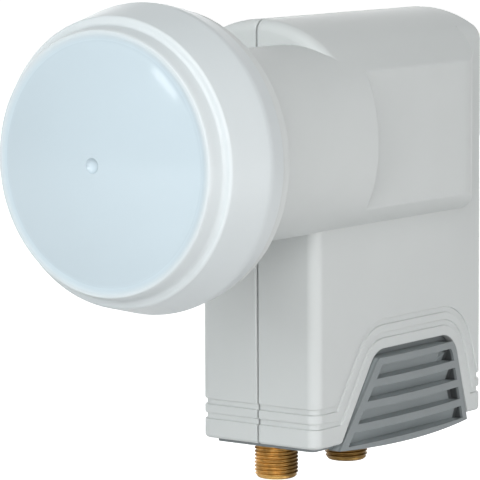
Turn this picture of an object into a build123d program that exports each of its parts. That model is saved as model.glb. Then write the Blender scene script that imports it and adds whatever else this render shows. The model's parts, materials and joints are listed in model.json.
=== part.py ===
from build123d import *
import os

# Twin satellite low-noise block, millimetres, +Z up.
# The origin lies on the neck's axis, half way along the clamp zone.
# The feed cap faces -Y and the coaxial connectors point to -Z.

# Neck and clamp zone
NECK_R = 20.0
NECK_WALL = 2.6
CLAMP_LENGTH = 43.0

# Housing box, which sits to one side of the neck's axis
BOX_MID_X = -8.45
BOX_HALF_X = 15.2
BOX_DEPTH = 64.85
BOX_BOTTOM_Z = -65.0
BOX_TOP_Z = 25.0
ROOF_R = 26.5
ROOF_EDGE_R = 4.0
CORNER_R = 2.6
BOTTOM_EDGE_R = 0.8
WALL = 2.0
INNER_ROUND = 0.5
SEAM_GAP = 0.3
LIP_T = 1.0
LIP_EASE = 0.1
LIP_REACH = 1.6

# Drum that carries the neck along the right side, and its flat label pad
PAD_DEPTH = 6.1
PAD_SETBACK = 8.0
PAD_SLOPE_RUN = 4.1
PAD_REAR_R = 10.0
DRUM_LENGTH = 55.85
DRUM_BLEND_R = 20.0

# Cable arch in both sides, set back from the box front, and its two grooves
ARCH_FOOT_SETBACK = 9.4
ARCH_FOOT_WIDTH = 49.3
ARCH_HEAD_SETBACK = 22.4
ARCH_HEAD_WIDTH = 30.3
ARCH_HEIGHT = 18.6
ARCH_CORNER_R = 6.0
GROOVE_WIDTH = 1.1
GROOVE_DEPTH = 0.5
GROOVE_SETOFF = (5.8, 2.9)
GROOVE_HEIGHT = (7.9, 4.8)

# Feed cap: its widest circle lies in front of the clamp zone
CAP_WIDE_R = 31.0
CAP_STANDOFF = 5.6
CAP_FLARE = 2.4
CAP_SKIRT = 10.2
CAP_DISC_PROUD = 2.2
CAP_CROWN = 4.4
CAP_BROW = 1.9
CAP_GROOVE_DROP = 0.2
CAP_GROOVE_W = 0.5
CAP_RIM = 2.1
CAP_REAR_TAPER = 0.8
CAP_REAR_RUN = 4.8
CAP_REAR_LAND = 1.7
CAP_WALL = 1.8
CAP_GATE_R = 1.1
CAP_GATE_DEPTH = 0.5
CAP_BEAD_R = 0.7
CAP_EDGE_R = 1.0

# Bell flange on the neck, which carries the cap
BELL_FRONT_RUN = 2.6
BELL_GROOVE = 0.4
BELL_FLANGE_T = 2.4
BELL_FLANGE_STEP = 0.6
BELL_CONE_RUN = 2.6
SEAL_T = 1.8
SEAL_WIDTH = 1.8
SEAL_EASE = 0.6

# Casting: feed horn and waveguide
WAVEGUIDE_R = 9.4
WAVEGUIDE_WALL = 2.2
WAVEGUIDE_REACH = 28.5
FLARE_GROWTH = 1.6
FLARE_RUN = 4.0
HORN_GAP = 1.5
HORN_NOSE_GAP = 0.3
HORN_LENGTH = 8.6
CHOKE_SETOFF = (3.2, 8.0)
CHOKE_WIDTH = (2.4, 3.0)
CHOKE_DEPTH = 6.0
COLLAR_T = 4.0
COLLAR_SETBACK = 3.5
COLLAR_FIT = 4.5

# Casting: electronics plate, its lid and what they hold
PLATE_T = 7.6
PLATE_FRONT_GAP = 2.5
PLATE_REAR_GAP = 3.2
PLATE_TOP_GAP = 4.1
BOARD_T = 1.0
BOARD_INSET = 3.6
BOARD_EASE = 0.2
COVER_DEPTH = 5.6
COVER_WALL = 1.5
GASKET_T = 0.6
GASKET_RIM = 1.8
GASKET_EASE = 0.2
SCREW_R = 1.25
SCREW_HEAD_R = 2.3
SCREW_HEAD_T = 1.3
SCREW_HEAD_GAP = 0.3
SCREW_LENGTH = 11.0
SCREW_EASE = 0.15
CROSS_LENGTH = 3.0
CROSS_WIDTH = 0.6
CROSS_DEPTH = 0.5
BOSS_R = 3.4
BOSS_EASE = 0.2
REST_R = 3.0
REST_INSET = 6.0
PROBE_R = 0.6
PROBE_HOLE_R = 1.6
PROBE_REACH = 5.6
PROBE_BEND = 4.4
PROBE_TAIL = 0.5
PROBE_BACKSHORT = 6.5
PROBE_SPACING = 9.0

# Coaxial connectors, 3/8 inch thread
CONN_SETBACK = 12.0
CONN_SPACING = 26.4
CONN_TIP_DROP = 9.3
CONN_THREAD_R = 4.72
CONN_THREAD_DEPTH = 0.42
CONN_FLANGE_R = 6.2
CONN_FLANGE_T = 2.0
CONN_SPIGOT_R = 5.0
CONN_SPIGOT_L = 9.0
CONN_BORE_R = 3.4
CONN_SOCKET_R = 1.0
CONN_SOCKET_DEPTH = 8.0
CONN_PIN_R = 0.6
CONN_PIN_RISE = 7.0
CONN_SEAL_T = 1.2
CONN_FEED_R = 1.1
CONN_FACE_SINK = 0.8
CONN_CONTACT_SINK = 2.0
TOWER_RIM = 0.3
TOWER_FOOT_RISE = 9.3

# Sliding weather shield
SHIELD_GAP = 0.4
SHIELD_WALL = 1.6
SHIELD_RISE = 23.3
SHIELD_HEADROOM = 2.0
SHIELD_FOOT_DROP = 0.9
PANEL_GAP = 0.5
PANEL_TOP_GAP = 1.6
PANEL_BULGE = 1.4
PANEL_EDGE = 0.2
PANEL_DROP = 2.2
PANEL_SAG = 0.75
PANEL_FLOOR = 0.4
SLOT_COUNT = 4
SLOT_PITCH = 4.5
SLOT_HEIGHT = 2.85
SLOT_FIRST_DROP = 3.1
SLOT_SIDE = 1.9

# Places that follow from the sizes above
NECK_BORE_R = NECK_R - NECK_WALL
BOX_FRONT_Y = CLAMP_LENGTH / 2
BOX_REAR_Y = BOX_FRONT_Y + BOX_DEPTH
BOX_MID_Y = (BOX_FRONT_Y + BOX_REAR_Y) / 2
BOX_RIGHT_X = BOX_MID_X + BOX_HALF_X
ROOF_Z = BOX_TOP_Z - ROOF_R
BOX_LEFT_X = BOX_MID_X - BOX_HALF_X
PAD_X = NECK_R - PAD_DEPTH
PAD_START_Y = BOX_FRONT_Y + PAD_SETBACK
DRUM_REAR_Y = BOX_FRONT_Y + DRUM_LENGTH
ARCH_FOOT_Y = BOX_FRONT_Y + ARCH_FOOT_SETBACK
ARCH_HEAD_Y = BOX_FRONT_Y + ARCH_HEAD_SETBACK
ARCH_MID_Y = ARCH_FOOT_Y + ARCH_FOOT_WIDTH / 2
ARCH_TOP_Z = BOX_BOTTOM_Z + ARCH_HEIGHT
CAP_WIDE_Y = -CLAMP_LENGTH / 2 - CAP_STANDOFF
CAP_SHOULDER_Y = CAP_WIDE_Y - CAP_SKIRT
CAP_REAR_Y = CAP_WIDE_Y + CAP_REAR_RUN
CAP_SHOULDER_R = CAP_WIDE_R - CAP_FLARE
CAP_GROOVE_R = CAP_SHOULDER_R - CAP_BROW
CAP_DISC_R = CAP_GROOVE_R - CAP_RIM
CAP_REAR_R = CAP_WIDE_R - CAP_REAR_TAPER
BELL_FRONT_Y = CAP_WIDE_Y + BELL_FRONT_RUN
BELL_RIM_R = CAP_REAR_R - CAP_REAR_LAND
BELL_FLANGE_R = CAP_REAR_R - BELL_FLANGE_STEP
HORN_R = CAP_SHOULDER_R - CAP_WALL - HORN_GAP
HORN_FRONT_Y = CAP_SHOULDER_Y + CAP_WALL + HORN_NOSE_GAP
WAVEGUIDE_END_Y = BOX_FRONT_Y + WAVEGUIDE_REACH
COLLAR_Y = (COLLAR_SETBACK - BOX_FRONT_Y, BOX_FRONT_Y - COLLAR_FIT - COLLAR_T)
SHIELD_TOP_Z = BOX_BOTTOM_Z + SHIELD_RISE
INNER_FOOT_Z = SHIELD_TOP_Z + SHIELD_HEADROOM
COVER_LEFT_X = BOX_LEFT_X + WALL + SCREW_HEAD_T + SCREW_HEAD_GAP
SCREW_END_X = COVER_LEFT_X + SCREW_LENGTH
SCREW_INSET = GASKET_RIM + GASKET_EASE + BOSS_R
PLATE_LEFT_X = COVER_LEFT_X + COVER_DEPTH + GASKET_T
PLATE_RIGHT_X = PLATE_LEFT_X + PLATE_T
PLATE_FRONT_Y = BOX_FRONT_Y + WALL + PLATE_FRONT_GAP
PLATE_REAR_Y = BOX_REAR_Y - WALL - PLATE_REAR_GAP
PLATE_TOP_Z = BOX_TOP_Z - WALL - PLATE_TOP_GAP
BOARD_BACK_X = PLATE_LEFT_X + BOARD_T
CONN_X = BOARD_BACK_X + CONN_PIN_R
CONN_Y = (BOX_FRONT_Y + CONN_SETBACK, BOX_FRONT_Y + CONN_SETBACK + CONN_SPACING)
CONN_TIP_Z = BOX_BOTTOM_Z - CONN_TIP_DROP
CONN_PIN_TOP_Z = INNER_FOOT_Z + CONN_PIN_RISE
TOWER_R = CONN_FLANGE_R + TOWER_RIM
TOWER_FOOT_Z = BOX_BOTTOM_Z + TOWER_FOOT_RISE
SPIGOT_TOP_Z = TOWER_FOOT_Z + CONN_SPIGOT_L
FLANGE_TOP_Z = TOWER_FOOT_Z - CONN_SEAL_T
FLANGE_FOOT_Z = FLANGE_TOP_Z - CONN_FLANGE_T
PROBE_Y = (WAVEGUIDE_END_Y - PROBE_BACKSHORT,
           WAVEGUIDE_END_Y - PROBE_BACKSHORT - PROBE_SPACING)

# How far cutting bodies run past what they cut, and a length beyond the part
CUT = 5.0
FAR = 10 * CAP_WIDE_R


def ring(outer, inner, y0, y1):
    """A tube along Y between two places."""
    return rod(outer, y0, y1) - rod(inner, y0 - CUT, y1 + CUT)


def rod(radius, y0, y1):
    """A solid round bar along Y."""
    bar = Cylinder(radius, y1 - y0, rotation=(90, 0, 0))
    return Pos(0, (y0 + y1) / 2, 0) * bar


def post(radius, x, y, z0, z1):
    """A solid round bar along Z."""
    return Pos(x, y, (z0 + z1) / 2) * Cylinder(radius, z1 - z0)


def peg(radius, x0, x1, y, z):
    """A solid round bar along X."""
    bar = Cylinder(radius, x1 - x0, rotation=(0, 90, 0))
    return Pos((x0 + x1) / 2, y, z) * bar


def block(x0, x1, y0, y1, z0, z1):
    """A plain box from its corner planes."""
    middle = Pos((x0 + x1) / 2, (y0 + y1) / 2, (z0 + z1) / 2)
    return middle * Box(x1 - x0, y1 - y0, z1 - z0)


def yz_solid(face, x0, x1):
    """A sketch drawn with x as Y and y as Z, pushed out along X."""
    plane = Plane(origin=(x0, 0, 0), x_dir=(0, 1, 0), z_dir=(1, 0, 0))
    return extrude(plane * face, x1 - x0)


def box_body(inset, drop=0.0):
    """The housing box with its arched roof, drawn in by an inset."""
    half = BOX_HALF_X - inset
    roof = ROOF_R - inset
    top = BOX_TOP_Z - inset
    eave = top - roof + (roof ** 2 - half ** 2) ** 0.5
    foot = BOX_BOTTOM_Z - drop
    line = Polyline((-half, eave), (-half, foot), (half, foot), (half, eave))
    arc = ThreePointArc((half, eave), (0, top), (-half, eave))
    face = make_face([*line.edges(), arc.edge()])
    eaves = face.vertices().sort_by(Axis.Y)[-2:]
    face = fillet(eaves, max(ROOF_EDGE_R - inset, INNER_ROUND))
    plane = Plane(origin=(BOX_MID_X, BOX_FRONT_Y + inset, 0),
                  x_dir=(1, 0, 0), z_dir=(0, -1, 0))
    solid = extrude(plane * face, 2 * inset - BOX_DEPTH)
    ends = solid.faces().filter_by(Axis.Y)
    rims = [e for f in ends for e in f.edges()]
    rims = [e for e in rims if e.center().Z > foot + INNER_ROUND]
    solid = fillet(rims, max(CORNER_R - inset, INNER_ROUND))
    if inset == 0.0:
        sole = solid.faces().sort_by(Axis.Z)[0]
        solid = fillet(sole.edges(), BOTTOM_EDGE_R)
    return solid


def on_round(centre, radius, aim):
    """Place on a circle, in the direction of another place."""
    run = (aim[0] - centre[0], aim[1] - centre[1])
    scale = radius / (run[0] ** 2 + run[1] ** 2) ** 0.5
    return centre[0] + scale * run[0], centre[1] + scale * run[1]


def blend_centre():
    """Centre of the hollow between the roof and the drum, which touches both rounds."""
    near = NECK_R + DRUM_BLEND_R
    far = ROOF_R + DRUM_BLEND_R
    span = (BOX_MID_X ** 2 + ROOF_Z ** 2) ** 0.5
    along = (near ** 2 - far ** 2 + span ** 2) / (2 * span)
    across = (near ** 2 - along ** 2) ** 0.5
    x, z = BOX_MID_X / span, ROOF_Z / span
    return along * x + across * z, along * z - across * x


def drum_face(inset):
    """End view of the drum: roof, hollow and the neck's round, closed at the seam."""
    radius = NECK_R - inset
    axis = (0, 0)
    roof = (BOX_MID_X, ROOF_Z)
    hollow = blend_centre()
    top = (BOX_MID_X, BOX_TOP_Z - inset)
    high = on_round(roof, ROOF_R - inset, hollow)
    low = on_round(axis, radius, hollow)
    foot = (BOX_MID_X, -(radius ** 2 - BOX_MID_X ** 2) ** 0.5)
    roof_mid = on_round(roof, ROOF_R - inset, ((top[0] + high[0]) / 2, (top[1] + high[1]) / 2))
    hollow_mid = on_round(hollow, DRUM_BLEND_R + inset,
                          ((high[0] + low[0]) / 2, (high[1] + low[1]) / 2))
    arcs = (ThreePointArc(top, roof_mid, high), ThreePointArc(high, hollow_mid, low),
            ThreePointArc(low, on_round(axis, radius, (1, -1)), foot))
    return make_face([*(a.edge() for a in arcs), Line(foot, top).edge()])


def drum_plan(inset):
    """Top view of the drum: the neck's round, the pad and the rear end, soft outside."""
    flat = PAD_X - inset
    start = BOX_FRONT_Y + inset
    end = DRUM_REAR_Y - inset
    turn = PAD_REAR_R - inset
    wide = NECK_R + CUT
    rise = PAD_START_Y - (wide - flat) * PAD_SLOPE_RUN / PAD_DEPTH
    pts = ((flat, end - turn), (flat, PAD_START_Y), (wide, rise), (wide, start),
           (BOX_MID_X, start), (BOX_MID_X, end), (flat - turn, end))
    if inset:
        return make_face(Polyline(*pts, close=True))
    corner = on_round((flat - turn, end - turn), turn, (flat, end))
    rear = ThreePointArc(pts[-1], corner, pts[0])
    return make_face([*Polyline(*pts).edges(), rear.edge()])


def drum_body(inset):
    """The neck's round carried along the right side, with its flat pad."""
    start = BOX_FRONT_Y + inset
    end = DRUM_REAR_Y - inset
    plane = Plane(origin=(0, start, 0), x_dir=(1, 0, 0), z_dir=(0, -1, 0))
    body = extrude(plane * drum_face(inset), start - end)
    rim = [e for e in body.faces().sort_by(Axis.Y)[0].edges()
           if e.geom_type == GeomType.CIRCLE]
    body = fillet(rim, max(CORNER_R - inset, INNER_ROUND))
    body += rod(NECK_R - inset, start, start + 2 * CORNER_R)
    return body & extrude(Pos(0, 0, -FAR) * drum_plan(inset), 2 * FAR)


def arch_face(grow):
    """The cable arch in the side view, grown by a set-off."""
    below = ARCH_HEIGHT
    lean_front = (ARCH_HEAD_Y - ARCH_FOOT_Y) / ARCH_HEIGHT
    foot_rear = ARCH_FOOT_Y + ARCH_FOOT_WIDTH
    head_rear = ARCH_HEAD_Y + ARCH_HEAD_WIDTH
    lean_rear = (foot_rear - head_rear) / ARCH_HEIGHT
    pts = ((ARCH_FOOT_Y - lean_front * below, BOX_BOTTOM_Z - below),
           (foot_rear + lean_rear * below, BOX_BOTTOM_Z - below),
           (head_rear, ARCH_TOP_Z), (ARCH_HEAD_Y, ARCH_TOP_Z))
    face = make_face(Polyline(*pts, close=True))
    heads = face.vertices().sort_by(Axis.Y)[-2:]
    face = fillet(heads, ARCH_CORNER_R)
    if grow:
        face = offset(face, grow, kind=Kind.INTERSECTION)
    return face


def groove_region(setoff, height):
    """All of the side below one groove's edge: the arch and the skirting."""
    top = BOX_BOTTOM_Z + height
    skirting = Pos(BOX_MID_Y, top - ARCH_HEIGHT) * Rectangle(FAR, 2 * ARCH_HEIGHT)
    return arch_face(setoff) + skirting


def groove_cutter(setoff, height):
    """A band in the side view that leaves all but the outer skin alone."""
    half = GROOVE_WIDTH / 2
    outer = groove_region(setoff + half, height + half)
    inner = groove_region(setoff - half, height - half)
    band = yz_solid(outer - inner, BOX_LEFT_X - CUT, BOX_RIGHT_X + CUT)
    return band - box_body(GROOVE_DEPTH, drop=CUT)


def bell(side):
    """One half of the neck with its bell flange, side +1 right, -1 left."""
    flange = CAP_REAR_Y + BELL_GROOVE
    cone_y = flange + BELL_FLANGE_T
    root = BOX_FRONT_Y + WALL
    body = rod(NECK_R, BELL_FRONT_Y, root)
    body += rod(BELL_RIM_R, BELL_FRONT_Y, flange)
    body += rod(BELL_FLANGE_R, flange, cone_y)
    cone = Cone(NECK_R, BELL_FLANGE_R, BELL_CONE_RUN, rotation=(90, 0, 0))
    body += Pos(0, cone_y + BELL_CONE_RUN / 2, 0) * cone
    body -= rod(NECK_BORE_R, BELL_FRONT_Y - CUT, root + CUT)
    gap = SEAM_GAP / 2
    if side > 0:
        return body & block(gap, FAR, -FAR, FAR, -FAR, FAR)
    return body & block(-FAR, -gap, -FAR, FAR, -FAR, FAR)


def seam_lip():
    """Tongue inside the right shell that backs the seam."""
    core = box_body(WALL + LIP_T, drop=CUT)
    free = box_body(WALL + LIP_EASE, drop=CUT) - core
    held = box_body(WALL - LIP_EASE, drop=CUT) - core
    edge = BOX_MID_X + SEAM_GAP / 2
    body = free & block(BOX_MID_X - LIP_REACH, edge, 0, FAR, INNER_FOOT_Z, FAR)
    body += held & block(edge, edge + LIP_REACH, 0, FAR, INNER_FOOT_Z, FAR)
    return body - rod(NECK_BORE_R, 0, FAR)


def rest_places():
    """Where the right shell's posts meet the plate, as (y, z)."""
    rear = PLATE_REAR_Y - REST_INSET
    low = INNER_FOOT_Z + REST_INSET
    return [(rear, PLATE_TOP_Z - REST_INSET), (rear, low), (PLATE_FRONT_Y + REST_INSET, low)]


def press_places():
    """Where the left shell's posts meet the cover, as (y, z)."""
    middle = (PLATE_FRONT_Y + PLATE_REAR_Y) / 2
    return [(middle, PLATE_TOP_Z - REST_INSET), (middle, INNER_FOOT_Z + REST_INSET)]


def shells():
    """The two half shells of the housing, right one first."""
    outer = box_body(0.0)
    cavity = box_body(WALL, drop=CUT)
    for setoff, height in zip(GROOVE_SETOFF, GROOVE_HEIGHT):
        outer -= groove_cutter(setoff, height)
    arch = yz_solid(arch_face(0.0), BOX_LEFT_X - CUT, BOX_RIGHT_X + CUT)
    root = BOX_FRONT_Y + WALL
    right_edge = BOX_MID_X + SEAM_GAP / 2
    left_edge = BOX_MID_X - SEAM_GAP / 2
    right_side = block(right_edge, FAR, -FAR, FAR, -FAR, FAR)
    left_side = block(-FAR, left_edge, -FAR, FAR, -FAR, FAR)
    right = (outer & right_side) + drum_body(0.0)
    right = right & right_side
    right -= cavity
    right -= drum_body(WALL)
    right -= rod(NECK_BORE_R, 0, root + WALL)
    right -= arch
    right += bell(1)
    right += seam_lip()
    for y, z in rest_places():
        right += peg(REST_R, PLATE_RIGHT_X, BOX_RIGHT_X - WALL / 2, y, z)
    left = (outer & left_side) - cavity - arch
    left -= rod(NECK_R, 0, root + WALL)
    left += bell(-1) & block(-FAR, FAR, -FAR, BOX_FRONT_Y, -FAR, FAR)
    left += bell(-1) & block(-FAR, left_edge, 0, FAR, -FAR, FAR)
    for y, z in press_places():
        left += peg(REST_R, BOX_LEFT_X + WALL / 2, COVER_LEFT_X, y, z)
    return right, left


def on_ball(centre, ball, radius):
    """Place on a ball's front, as (radius, y), for a half section."""
    return radius, centre - (ball ** 2 - radius ** 2) ** 0.5


def cap_profile():
    """Half section of the feed cap, x as radius and y along the axis."""
    disc_y = CAP_SHOULDER_Y - CAP_DISC_PROUD
    groove_y = CAP_SHOULDER_Y + CAP_GROOVE_DROP
    dome_r = (CAP_DISC_R ** 2 + CAP_CROWN ** 2) / (2 * CAP_CROWN)
    centre = disc_y - CAP_CROWN + dome_r
    half = CAP_DISC_R / 2
    inner_r = CAP_DISC_R - CAP_WALL / 2
    inner_dome = dome_r - CAP_WALL
    gate_rim = on_ball(centre, dome_r, CAP_GATE_R)
    gate_y = gate_rim[1] + CAP_GATE_DEPTH
    gate_ball = (CAP_GATE_R ** 2 + CAP_GATE_DEPTH ** 2) / (2 * CAP_GATE_DEPTH)
    gate_mid = gate_y - gate_ball + (gate_ball ** 2 - CAP_GATE_R ** 2 / 4) ** 0.5
    gate = ThreePointArc((0, gate_y), (CAP_GATE_R / 2, gate_mid), gate_rim)
    bead = (CAP_DISC_R, disc_y)
    dome = ThreePointArc(gate_rim, on_ball(centre, dome_r, half), bead)
    groove_in = (CAP_GROOVE_R - CAP_GROOVE_W / 2, groove_y)
    groove_out = (CAP_GROOVE_R + CAP_GROOVE_W / 2, groove_y)
    brow = (CAP_GROOVE_R + CAP_GROOVE_W, CAP_SHOULDER_Y)
    edge = (CAP_SHOULDER_R, CAP_SHOULDER_Y)
    wide = (CAP_WIDE_R, CAP_WIDE_Y)
    lip = (CAP_REAR_R, CAP_REAR_Y)
    inner_end = on_ball(centre, inner_dome, inner_r)
    outer = Polyline(bead, groove_in, groove_out, brow, edge, wide, lip,
                     (BELL_RIM_R, CAP_REAR_Y), (BELL_RIM_R, BELL_FRONT_Y),
                     (CAP_WIDE_R - CAP_WALL, CAP_WIDE_Y),
                     (CAP_SHOULDER_R - CAP_WALL, CAP_SHOULDER_Y + CAP_WALL),
                     inner_end)
    crown = (0, centre - inner_dome)
    inner = ThreePointArc(inner_end, on_ball(centre, inner_dome, half), crown)
    axis = Line(crown, (0, gate_y))
    face = make_face([gate.edge(), dome.edge(), *outer.edges(), inner.edge(), axis.edge()])
    for place, radius in ((bead, CAP_BEAD_R), (edge, CAP_EDGE_R), (wide, CAP_EDGE_R)):
        near = face.vertices().sort_by_distance((place[0], place[1], 0))[0]
        face = fillet(near, radius)
    return face


def feed_cap():
    """The domed cap over the horn, with its moulding gate dimple."""
    return revolve(cap_profile(), Axis.Y)


def cap_seal():
    """Rubber ring between the bell and the cap."""
    outer = BELL_RIM_R - SEAL_EASE
    return ring(outer, outer - SEAL_WIDTH, BELL_FRONT_Y - SEAL_T, BELL_FRONT_Y)


def screw_places():
    """Corner places of the cover screws as (y, z)."""
    ys = (PLATE_FRONT_Y + SCREW_INSET, PLATE_REAR_Y - SCREW_INSET)
    zs = (INNER_FOOT_Z + SCREW_INSET, PLATE_TOP_Z - SCREW_INSET)
    return [(y, z) for y in ys for z in zs]


def plate_block(rim, x0, x1):
    """A block that follows the plate's edge at one set-off."""
    return block(x0, x1, PLATE_FRONT_Y + rim, PLATE_REAR_Y - rim,
                 INNER_FOOT_Z + rim, PLATE_TOP_Z - rim)


def board_outline(ease):
    """The board's block, smaller by an ease all round, corners cleared."""
    body = plate_block(BOARD_INSET + ease, PLATE_LEFT_X, BOARD_BACK_X)
    for y, z in screw_places():
        body -= peg(BOSS_R + BOSS_EASE + ease, PLATE_LEFT_X - CUT, BOARD_BACK_X + CUT, y, z)
    return body


def chassis():
    """One casting: feed horn, waveguide, plate and connector towers."""
    tube_r = WAVEGUIDE_R + WAVEGUIDE_WALL
    body = rod(tube_r, HORN_FRONT_Y, WAVEGUIDE_END_Y + WAVEGUIDE_WALL)
    body += rod(HORN_R, HORN_FRONT_Y, HORN_FRONT_Y + HORN_LENGTH)
    for setoff, width in zip(CHOKE_SETOFF, CHOKE_WIDTH):
        inner = WAVEGUIDE_R + setoff
        body -= ring(inner + width, inner, HORN_FRONT_Y - CUT, HORN_FRONT_Y + CHOKE_DEPTH)
    for y in COLLAR_Y:
        body += rod(NECK_BORE_R, y, y + COLLAR_T)
    body += plate_block(0.0, PLATE_LEFT_X, PLATE_RIGHT_X)
    for y in CONN_Y:
        body += post(TOWER_R, CONN_X, y, TOWER_FOOT_Z, INNER_FOOT_Z)
    body -= rod(WAVEGUIDE_R, HORN_FRONT_Y - CUT, WAVEGUIDE_END_Y)
    flare = Cone(WAVEGUIDE_R, WAVEGUIDE_R + FLARE_GROWTH, FLARE_RUN, rotation=(90, 0, 0))
    body -= Pos(0, HORN_FRONT_Y + FLARE_RUN / 2, 0) * flare
    body -= board_outline(0.0)
    for y in CONN_Y:
        body -= post(CONN_SPIGOT_R, CONN_X, y, TOWER_FOOT_Z - CUT, SPIGOT_TOP_Z)
        body -= post(CONN_FEED_R, CONN_X, y, SPIGOT_TOP_Z, CONN_PIN_TOP_Z + CONN_PIN_R)
    for y, z in screw_places():
        body -= peg(SCREW_R, PLATE_LEFT_X - CUT, SCREW_END_X, y, z)
    for y in PROBE_Y:
        body -= peg(PROBE_HOLE_R, PLATE_LEFT_X, 0, y, 0)
    return body


def circuit_board():
    """The board with holes for the two probes."""
    body = board_outline(BOARD_EASE)
    for y in PROBE_Y:
        body -= peg(PROBE_R, PLATE_LEFT_X - CUT, BOARD_BACK_X + CUT, y, 0)
    return body


def straight_probe():
    """Pin that reaches straight across into the waveguide."""
    tip = PROBE_REACH - WAVEGUIDE_R
    return peg(PROBE_R, PLATE_LEFT_X - PROBE_TAIL, tip, PROBE_Y[0], 0)


def bent_probe():
    """Pin that turns down inside the waveguide for the other polarity."""
    y = PROBE_Y[1]
    tip = PROBE_BEND - WAVEGUIDE_R
    body = peg(PROBE_R, PLATE_LEFT_X - PROBE_TAIL, tip, y, 0)
    body += Pos(tip, y, 0) * Sphere(PROBE_R)
    return body + post(PROBE_R, tip, y, -PROBE_REACH, 0)


def cover_gasket():
    """Soft frame between the cover's rim and the plate."""
    left = COVER_LEFT_X + COVER_DEPTH
    body = plate_block(GASKET_EASE, left, PLATE_LEFT_X)
    return body - plate_block(GASKET_RIM, left - CUT, PLATE_LEFT_X + CUT)


def chassis_cover():
    """Cast lid over the board, with four screw bosses."""
    left = COVER_LEFT_X
    right = left + COVER_DEPTH
    body = plate_block(0.0, left, right)
    body -= plate_block(COVER_WALL, left + COVER_WALL, right + CUT)
    for y, z in screw_places():
        body += peg(BOSS_R, left, PLATE_LEFT_X, y, z)
    for y, z in screw_places():
        body -= peg(SCREW_R + SCREW_EASE, left - CUT, PLATE_LEFT_X + CUT, y, z)
    return body


def cover_screw(y, z):
    """Pan-head screw along X with a cross recess."""
    face = COVER_LEFT_X - SCREW_HEAD_T
    long = CROSS_LENGTH / 2
    thin = CROSS_WIDTH / 2
    body = peg(SCREW_HEAD_R, face, COVER_LEFT_X, y, z)
    body += peg(SCREW_R, COVER_LEFT_X, SCREW_END_X, y, z)
    for wide, high in ((long, thin), (thin, long)):
        body -= block(face - CUT, face + CROSS_DEPTH, y - wide, y + wide, z - high, z + high)
    return body


def connector_body(y):
    """Threaded brass body; its fine thread is left to the finish model."""
    stem = post(CONN_THREAD_R, CONN_X, y, CONN_TIP_Z, FLANGE_FOOT_Z)
    tip = stem.edges().group_by(Axis.Z)[0]
    body = chamfer(tip, CONN_THREAD_DEPTH)
    body += post(CONN_FLANGE_R, CONN_X, y, FLANGE_FOOT_Z, FLANGE_TOP_Z)
    body += post(CONN_SPIGOT_R, CONN_X, y, FLANGE_TOP_Z, SPIGOT_TOP_Z)
    return body - post(CONN_BORE_R, CONN_X, y, CONN_TIP_Z - CUT, SPIGOT_TOP_Z + CUT)


def connector_insulator(y):
    """Plastic core with the socket hole."""
    body = post(CONN_BORE_R, CONN_X, y, CONN_TIP_Z + CONN_FACE_SINK, SPIGOT_TOP_Z)
    return body - post(CONN_SOCKET_R, CONN_X, y, CONN_TIP_Z - CUT, SPIGOT_TOP_Z + CUT)


def connector_contact(y):
    """Spring socket and the pin that runs up to the board."""
    foot = CONN_TIP_Z + CONN_CONTACT_SINK
    body = post(CONN_SOCKET_R, CONN_X, y, foot, SPIGOT_TOP_Z)
    body -= post(CONN_PIN_R, CONN_X, y, foot - CUT, foot + CONN_SOCKET_DEPTH)
    return body + post(CONN_PIN_R, CONN_X, y, SPIGOT_TOP_Z, CONN_PIN_TOP_Z)


def connector_seal(y):
    """Flat rubber ring between connector flange and tower."""
    body = post(CONN_FLANGE_R, CONN_X, y, FLANGE_TOP_Z, TOWER_FOOT_Z)
    return body - post(CONN_SPIGOT_R, CONN_X, y, FLANGE_TOP_Z - CUT, TOWER_FOOT_Z + CUT)


def panel_face():
    """Outline of the louvred panel inside the cable arch."""
    low = BOX_BOTTOM_Z - PANEL_DROP
    foot = low + 4 * PANEL_SAG
    y0 = ARCH_MID_Y - ARCH_FOOT_WIDTH
    y1 = ARCH_MID_Y + ARCH_FOOT_WIDTH
    top = ARCH_TOP_Z - PANEL_TOP_GAP
    sides = Polyline((y1, foot), (y1, top), (y0, top), (y0, foot))
    sag = ThreePointArc((y0, foot), (ARCH_MID_Y, low), (y1, foot))
    return arch_face(-PANEL_GAP) & make_face([*sides.edges(), sag.edge()])


def slot_faces():
    """The blind louvre slots of one panel."""
    field = arch_face(-PANEL_GAP - SLOT_SIDE)
    faces = []
    for i in range(SLOT_COUNT):
        z = ARCH_TOP_Z - SLOT_FIRST_DROP - i * SLOT_PITCH - SLOT_HEIGHT / 2
        faces.append(field & Pos(ARCH_MID_Y, z) * Rectangle(FAR, SLOT_HEIGHT))
    return faces


def weather_shield():
    """Sleeve that slides down over the plugs, with a louvred panel each side."""
    half = BOX_HALF_X - WALL - SHIELD_GAP
    front = BOX_FRONT_Y + WALL + SHIELD_GAP
    rear = BOX_REAR_Y - WALL - SHIELD_GAP
    foot = BOX_BOTTOM_Z - SHIELD_FOOT_DROP
    body = block(BOX_MID_X - half, BOX_MID_X + half, front, rear, foot, SHIELD_TOP_Z)
    body = fillet(body.edges().filter_by(Axis.Z), CORNER_R / 2)
    peak = BOX_HALF_X + PANEL_BULGE
    fall = PANEL_BULGE + PANEL_EDGE
    bow_r = ((ARCH_FOOT_WIDTH / 2) ** 2 + fall ** 2) / (2 * fall)
    floor = half + PANEL_FLOOR
    for side in (1, -1):
        slab = yz_solid(panel_face(), BOX_MID_X + side * (half - SHIELD_WALL / 2),
                        BOX_MID_X + side * (peak + CUT))
        slab = slab & Pos(BOX_MID_X + side * (peak - bow_r), ARCH_MID_Y, 0) * Cylinder(bow_r, FAR)
        for face in slot_faces():
            slab -= yz_solid(face, BOX_MID_X + side * floor, BOX_MID_X + side * (peak + CUT))
        body += slab
    wall = SHIELD_WALL
    body -= block(BOX_MID_X - half + wall, BOX_MID_X + half - wall,
                  front + wall, rear - wall, foot - FAR, SHIELD_TOP_Z + CUT)
    return body


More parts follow.
